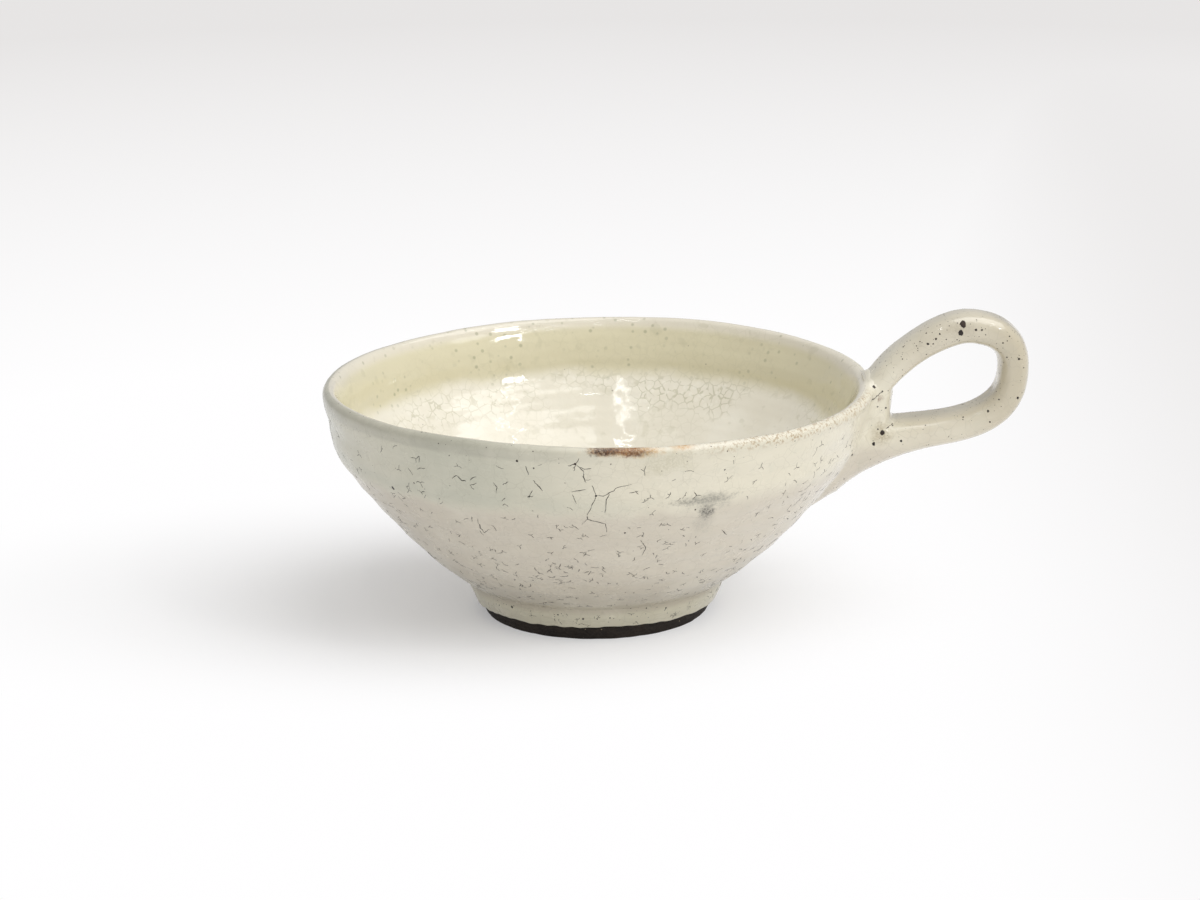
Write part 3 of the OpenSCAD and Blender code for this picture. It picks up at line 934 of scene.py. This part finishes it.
def clay_material():
    material, g, shader = new_material("bare_stoneware")
    grain = g.noise(0.7, 3.0, 0.7, 2.0)
    flecks = speckle(g, 1.5, 0.18, 0.16, 1, "SMOOTHSTEP")
    rings = g.math("SINE", g.times(g.parts(g.place)[2], 2 * math.pi / 0.0011))
    g.feed(shader, {
        "Base Color": g.over(
            g.mix(g.fit(g.noise(8.0, 4.0, 0.6, 1.0), 0.35, 0.7), CLAY, CLAY_PALE),
            (CLAY_DARK, g.fit(grain, 0.5, 0.75), 0.5),
            (FLECK, flecks, 0.8),
        ),
        "Roughness": g.fit(grain, 0.3, 0.8, 0.7, 0.95),
        "Specular IOR Level": 0.25,
        "Normal": g.bump(g.math("MULTIPLY_ADD", grain, 1.6, g.times(rings, 0.12)), 0.00012),
    })
    return material


def mark_material(name, dark, pale, rough):
    material, g, shader = new_material(name)
    g.feed(shader, {
        "Base Color": g.mix(g.fit(g.noise(2.4, 3.0, 0.6, 5.0), 0.35, 0.7), dark, pale),
        "Roughness": g.fit(g.noise(1.0, 2.0, 0.5, 6.0), 0.3, 0.7, rough, rough + 0.2),
    })
    return material


# Marks that the photograph shows, each by its own pixels of the 1200 by 900 frame. A crack is a run of x, y pairs
LONG_FISSURES_PX = [
    (575.8, 464.2, 568, 466), (575.8, 464.2, 579.4, 459), (575.8, 464.2, 574.4, 471),
    (575.8, 464.2, 583.3, 471.3, 585, 482), (596.4, 495.5, 591.8, 485.6), (596.4, 495.5, 592.5, 505, 586.5, 516.5),
    (596.4, 495.5, 603, 496, 609.6, 493.4, 617.8, 487.3, 632, 484.5), (609.6, 493.4, 606, 502, 605.3, 512.2),
    (571.6, 492, 585.8, 489.8), (572.3, 494.4, 576.5, 504),
    (581.5, 524.7, 587.6, 519.3, 596.4, 521.8, 605.3, 524, 607.1, 531.8), (587.6, 519.3, 586.5, 516.5),
    (578, 529, 572.3, 525.4), (533.2, 480.2, 538, 486, 543.1, 490.9), (531.7, 490.9, 528.9, 498),
    (527.1, 497.3, 533.2, 496.2), (525.3, 466, 528.9, 474.9),
    (477.3, 519.3, 479.8, 526.4, 484.4, 532.5, 489.8, 528.9), (457, 475.6, 461, 480, 466, 481),
    (457, 475.6, 452, 478), (470.2, 485.6, 474, 490), (470.2, 485.6, 476, 483), (493.3, 482.7, 497, 487, 496, 493),
    (503.3, 484.8, 508, 482), (640, 540, 646, 547, 642, 556), (870, 402, 875, 398, 882, 392),
    (886, 428, 890, 426, 893, 423), (722, 530, 727, 535),
]
BIG_SPOTS_PX = [
    (963, 324, 0.95), (961, 333, 0.85), (976, 330, 0.42), (982, 330, 0.36), (928, 344, 0.42), (936, 339, 0.36),
    (1019, 359, 0.4), (1018, 398, 0.4), (988, 411, 0.4), (990, 422, 0.32), (901, 441, 0.4), (882, 433, 0.7),
    (874, 444, 0.62), (874, 387, 0.5), (852, 451, 0.4), (852, 455, 0.42), (517, 461, 0.42), (575, 464, 0.42),
    (695.3, 509.7, 0.32), (596, 496, 0.35), (393, 488, 0.6), (414, 483, 0.3), (625, 533, 0.35), (512, 607, 0.5),
    (583, 619, 0.4), (666, 608, 0.35), (893, 398, 0.3), (886, 408, 0.34), (945, 351, 0.3), (1003, 343, 0.3),
]


# Larger stains: pixel, radii in millimetres, screen colour, strength, raggedness and grain
OUTER_STAINS_PX = [
    ((630, 451), (12.0, 3.8, 1.9), (206, 168, 112), 1.0, 0.8, 2.0),
    ((622, 451), (9.0, 3.8, 1.5), (146, 98, 52), 1.0, 0.8, 1.1),
    ((605, 452), (5.4, 3.4, 1.4), (66, 42, 26), 1.0, 0.8, 0.9),
    ((636, 454), (4.2, 3.0, 1.1), (104, 68, 40), 1.0, 0.9, 0.8),
    ((682, 446), (3.8, 3.0, 1.1), (206, 164, 112), 0.9, 0.5, 2.0),
    ((703, 500), (12.0, 6.0, 1.5), (110, 108, 100), 0.68, 0.9, 1.0),
    ((712, 502), (8.5, 6.0, 3.6), (156, 153, 142), 0.5, 0.8, 2.0),
    ((707, 512), (2.6, 3.0, 3.0), (80, 78, 72), 0.95, 0.8, 1.0),
    ((703, 522), (3.4, 5.0, 5.0), (164, 160, 147), 0.45, 0.8, 2.4),
    ((670, 463), (12.0, 6.0, 4.0), (192, 186, 160), 0.55, 0.7, 4.0),
]
HANDLE_STAINS_PX = [
    ((876, 398), (2.4, 2.4, 1.6), (122, 88, 60), 0.75, 0.6, 1.2),
    ((872, 392), (4.0, 3.0, 3.5), (182, 176, 160), 0.5, 0.5, 2.4),
    ((882, 434), (3.2, 3.0, 4.0), (150, 134, 98), 0.55, 0.7, 1.6),
    ((962, 330), (6.0, 3.0, 2.2), (178, 168, 146), 0.45, 0.6, 2.2),
]


def in_mm(place, normal, *_):
    """A hit's place in millimetres and its normal, or nothing for a miss."""
    return None if place is None else (np.array(place) / MM, np.array(normal))


def on_pot(tree, cam, x, y):
    return in_mm(*tree.ray_cast(*photo_ray(cam, x, y)))


def placed(stains, tree, cam):
    """Stains with their pixel turned into the place on the pot, and their colour into linear values."""
    return [(on_pot(tree, cam, *px)[0].tolist(), radii, srgb(*tone), *rest) for px, radii, tone, *rest in stains]


# How far a mark stands out of the glaze, and how deep it sits in it
MARK_PROUD, MARK_DEPTH = 0.03, 0.12


def crack_threads(runs, name, seed):
    """Open cracks as thin dark threads sunk into the glaze. A run is its points on the surface and a half width."""
    rng = np.random.default_rng(seed)
    verts, faces = [], []
    for hits, width in runs:
        base, n = len(verts), len(hits)
        for k, (p, normal) in enumerate(hits):
            along = hits[min(k + 1, n - 1)][0] - hits[max(k - 1, 0)][0]
            side = np.cross(normal, along)
            side /= max(np.linalg.norm(side), 1e-9)
            w = width * (0.3 + 0.7 * math.sin(math.pi * (k + 0.5) / n)) * rng.uniform(0.7, 1.3)
            out, edge = normal * MARK_PROUD, side * w
            verts += [p + edge - out, p + out, p - edge - out, p - normal * MARK_DEPTH]
        faces += grid_faces(n, 4, base, flip=True).tolist()
        faces += [[base, base + 1, base + 2, base + 3], [base + 4 * n - 1 - s for s in range(4)]]
    return new_object(name, verts, faces)


def long_fissures(tree, cam):
    rng = np.random.default_rng(7)
    runs = []
    for line in LONG_FISSURES_PX:
        ends = np.reshape(line, (-1, 2))
        at = np.linspace(0, len(ends) - 1, 4 * len(ends) - 3)
        way = np.column_stack([np.interp(at, np.arange(len(ends)), c) for c in ends.T])
        way += rng.normal(0, 0.3, way.shape)
        hits = [h for h in (on_pot(tree, cam, px, py) for px, py in way) if h]
        if len(hits) > 2:
            runs.append((hits, rng.uniform(0.17, 0.25)))
    return runs


# Height range, marks on each square centimetre, arm length and half width of the small crazing, in millimetres
CRAZING = [
    (49.0, 57.5, 3.6, (0.7, 1.7), (0.12, 0.17)),
    (40.0, 49.0, 5.0, (0.6, 1.5), (0.13, 0.18)),
    (27.0, 40.0, 8.6, (0.5, 1.3), (0.13, 0.20)),
    (11.0, 27.0, 13.0, (0.45, 1.2), (0.13, 0.20)),
    (4.6, 8.0, 9.0, (0.6, 1.5), (0.10, 0.14)),
]
# Cosine of the angle from +X within which the roots cover the wall
HANDLE_SIDE = 0.94


def small_fissures(tree):
    """Seeded Y-shaped and dashed cracks over the outside, finer and closer towards the foot, and their pits."""
    rng = np.random.default_rng(19)
    runs, pits = [], []
    for lo, hi, per_cm2, arms, widths in CRAZING:
        spread = 2 * math.pi * (0.55 * 0.5 * (lo + hi) + 38.0) * (hi - lo) / 100
        for _ in range(int(per_cm2 * spread)):
            angle, z = rng.uniform(0, 2 * math.pi), rng.uniform(lo, hi)
            c, s = math.cos(angle), math.sin(angle)
            if c > HANDLE_SIDE and z > 24:
                continue
            hit = in_mm(*tree.ray_cast(Vector((c * 90, s * 90, z)) * MM, Vector((-c, -s, 0))))
            if hit is None or noise(hit[0], 17.0, 61) < rng.uniform(-0.9, 0.1):
                continue
            centre, normal = hit
            u = np.array([-s, c, 0.0])
            v = np.cross(normal, u)
            v /= np.linalg.norm(v)
            flat = 0.6 if z < 16 else 0.95
            arms_here = int(rng.choice([1, 2, 3], p=[0.30, 0.25, 0.45]))
            start = rng.uniform(0, 2 * math.pi)
            for arm in range(arms_here):
                heading = start + arm * 2 * math.pi / arms_here + rng.normal(0, 0.3)
                length = rng.uniform(*arms) * (1.35 if arms_here == 1 else 1.0)
                bend = rng.normal(0, 0.35)
                hits = []
                for t in (0.0, 0.33, 0.66, 1.0):
                    a = heading + bend * t
                    at = centre + length * t * (u * math.cos(a) + v * flat * math.sin(a)) + rng.normal(0, 0.03, 3)
                    hits.append(in_mm(*tree.find_nearest(Vector(at) * MM)))
                runs.append((hits, rng.uniform(*widths)))
            if rng.random() < 0.3:
                pits.append((centre, normal, rng.uniform(0.10, 0.22)))
    return runs, pits


SPOT_SIDES = 12


def spots(places, name, seed):
    """Iron spots and pinholes as low domes with uneven edges."""
    rng = np.random.default_rng(seed)
    verts, faces = [], []
    sides = SPOT_SIDES
    for p, normal, radius in places:
        side = np.cross(normal, (0.3, 0.2, 0.9))
        side /= np.linalg.norm(side)
        other = np.cross(normal, side)
        base = len(verts)
        jag = rng.uniform(0.82, 1.16, sides)
        turn = rng.uniform(0, 6.3)
        for reach, depth in ((1.0, -0.04), (0.72, 0.012)):
            for i in range(sides):
                a = turn + 2 * math.pi * i / sides
                verts.append(p + radius * reach * jag[i] * (side * math.cos(a) + other * math.sin(a)) + normal * depth)
        verts += [p + normal * (MARK_PROUD + 0.02 * radius), p - normal * MARK_DEPTH]
        faces += grid_faces(2, sides, base).tolist()
        faces += fan(base + 2 * sides, base + sides, sides) + fan(base + 2 * sides + 1, base, sides, flip=True)
    return new_object(name, verts, faces)


# The fine specks: how many on the wall and on the handle, the tries allowed, and radii with their shares
WALL_SPECKS, HANDLE_SPECKS, MAX_TRIES = 520, 620, 40000
SPECK_RADII, SPECK_SHARES = [0.11, 0.15, 0.2, 0.27], [0.4, 0.3, 0.2, 0.1]


def scattered(skin, handle, rng):
    """Places for the fine specks: thick along the rim and the handle, thin over the belly."""
    places = []
    for obj, want, weight in (
        (skin, WALL_SPECKS, lambda p: 0.12 + 0.9 * (p[2] > 56) + 0.25 * (p[2] < 22)),
        (handle, HANDLE_SPECKS, lambda p: 0.55 + 0.45 * (p[2] > 62)),
    ):
        polygons, tries = obj.data.polygons, 0
        while want > 0 and tries < MAX_TRIES:
            tries += 1
            face = polygons[int(rng.integers(len(polygons)))]
            p, n = np.array(face.center) / MM, np.array(face.normal)
            if p[2] < 5.5 or rng.random() > weight(p):
                continue
            if obj is handle and wall_distance(p[None] - [[0, 0, HANDLE_LIFT]])[0] < 0.6:
                continue
            if obj is skin and np.dot(n[:2], p[:2]) < -0.02 * np.linalg.norm(p[:2]):
                continue
            places.append((p, n, rng.choice(SPECK_RADII, p=SPECK_SHARES)))
            want -= 1
    return places


# The stage, in metres
FLOOR_HALF = 3.0
WORLD_LIGHT = 0.49


def floor_material():
    """White paper that keeps most of the pot's shadow and greys a little far behind it: it glows for camera and glossy
    rays, with painted shade far away and painted light near the pot.
    """
    material, g, shader = new_material("studio_floor")
    tone = g.fit(g.noise(400, 2.0, 0.5, 1.0), 0.3, 0.7)
    paper = g.mix(tone, (0.93, 0.93, 0.935), (0.95, 0.95, 0.955))
    g.feed(shader, {"Base Color": paper, "Roughness": 0.75, "Specular IOR Level": 0.2})
    reach = g.vector("LENGTH", g.vector("MULTIPLY", g.place, (1.0, 1.0, 0.0)))
    # painted shade: the glow greys far from the pot and toward the right
    far = g.fit(reach, 0.28, 1.00, kind="LINEAR")
    far = g.math("MAXIMUM", far, g.fit(g.parts(g.place)[0], 0.07, 0.24, 0.0, 0.8))
    glow = g.node("Emission", (g.mix(far, (1.0, 0.995, 1.0), (0.80, 0.785, 0.78)),))
    rays = g.node("LightPath").outputs
    seen = g.math("MAXIMUM", rays["Is Camera Ray"], rays["Is Glossy Ray"])
    seen = g.math("MAXIMUM", seen, rays["Is Transmission Ray"])
    # painted light: near the pot a share of the glow lightens the real shadow, more so toward the front and right
    shade = g.vector("MULTIPLY", g.vector("ADD", g.place, (0.042, -0.012, 0.0)), (1.0, 1.6, 0.0))
    glow_share = g.times(seen, g.fit(g.vector("LENGTH", shade), 0.03, 0.16, 0.28, 1.0))
    pick = g.node("MixShader", (glow_share, shader.outputs[0], glow.outputs[0]))
    g.put(g.end.inputs[0], pick.outputs[0])
    return material


def make_stage():
    half = FLOOR_HALF
    mesh = bpy.data.meshes.new("studio_floor")
    mesh.from_pydata([(-half, -half, 0), (half, -half, 0), (half, half, 0), (-half, half, 0)], [], [(0, 1, 2, 3)])
    mesh.materials.append(floor_material())
    linked("studio_floor", mesh)
    world = bpy.data.worlds.new("studio_world")
    bpy.context.scene.world = world
    world.use_nodes = True
    g = Graph(world.node_tree)
    soft = g.node("Background", ((1.0, 0.99, 0.98, 1), WORLD_LIGHT)).outputs[0]
    seen = g.node("Background", ((0.85, 0.84, 0.84, 1), 1.0)).outputs[0]
    pick = g.node("MixShader", (g.node("LightPath").outputs["Is Camera Ray"], soft, seen))
    g.node("OutputWorld", (pick.outputs[0],))


def area_light(name, place, target, size, power, colour=(1, 1, 1)):
    data = bpy.data.lights.new(name, "AREA")
    data.shape = "RECTANGLE"
    data.size, data.size_y = size
    data.energy = power
    data.color = colour
    obj = linked(name, data)
    obj.location = place
    obj.rotation_euler = (Vector(target) - Vector(place)).to_track_quat("-Z", "Y").to_euler()
    return obj


def make_lights():
    """Soft panels from the right and the front, a window for the glints and narrow strips over the bowl."""
    centre = (0, 0, 0.04)
    area_light("top_panel", (0.26, 0.05, 0.76), centre, (0.7, 0.7), 2.8)
    for name, place, size, power in (
        ("right_panel", (0.80, -0.35, 0.42), (0.6, 0.6), 1.4),
        ("front_fill", (0.20, -1.0, 0.40), (0.9, 0.6), 1.5),
    ):
        area_light(name, place, centre, size, power, (1.0, 0.99, 0.97)).visible_glossy = False
    area_light("window", (0.63, -0.56, 0.78), centre, (0.16, 0.10), 1.0)
    for name, place, size in (
        ("strip_left", (-0.13, -0.27, 0.60), (0.004, 0.34)),
        ("strip_right", (0.33, -0.22, 0.60), (0.004, 0.50)),
        ("strip_front", (0.10, -0.40, 0.60), (0.47, 0.004)),
    ):
        area_light(name, place, centre, size, 0.13).rotation_euler = (0, 0, 0)


outer_skin, inner_skin = glaze_skins()
handle_skin = handle_glaze()
clay = clay_pot()
strap_core = strap_clay()
camera = make_camera()
make_stage()
make_lights()

pot_tree = mesh_tree([outer_skin, inner_skin, handle_skin])
small_runs, pits = small_fissures(mesh_tree([outer_skin]))
cracks = crack_threads(long_fissures(pot_tree, camera) + small_runs, "glaze_fissures", 8)
shown = [(on_pot(pot_tree, camera, px, py), size) for px, py, size in BIG_SPOTS_PX]
big_spots = spots([(*hit, size) for hit, size in shown if hit], "iron_spots", 11)
fine_places = scattered(outer_skin, handle_skin, np.random.default_rng(5))
fine_spots = spots(fine_places + pits, "fine_specks", 12)

dressing = {
    outer_skin: outer_glaze_material("outer_glaze", placed(OUTER_STAINS_PX, pot_tree, camera)),
    inner_skin: inner_glaze_material(),
    handle_skin: outer_glaze_material("handle_glaze", placed(HANDLE_STAINS_PX, pot_tree, camera), handle=True),
    clay: clay_material(),
    cracks: mark_material("crack_mark", srgb(24, 22, 19), srgb(50, 45, 38), 0.55),
    big_spots: mark_material("iron_mark", srgb(26, 20, 17), srgb(58, 44, 34), 0.3),
}
dressing[fine_spots] = dressing[big_spots]
dressing[strap_core] = dressing[clay]
for piece, material in dressing.items():
    piece.data.materials.append(material)
    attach(piece, "root")
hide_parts("glaze_outside")
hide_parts("glaze_inside")
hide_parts("glaze_handle")
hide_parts("bowl_body")
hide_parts("handle_strap", "root_pad")

bpy.context.scene.view_settings.view_transform = "Standard"
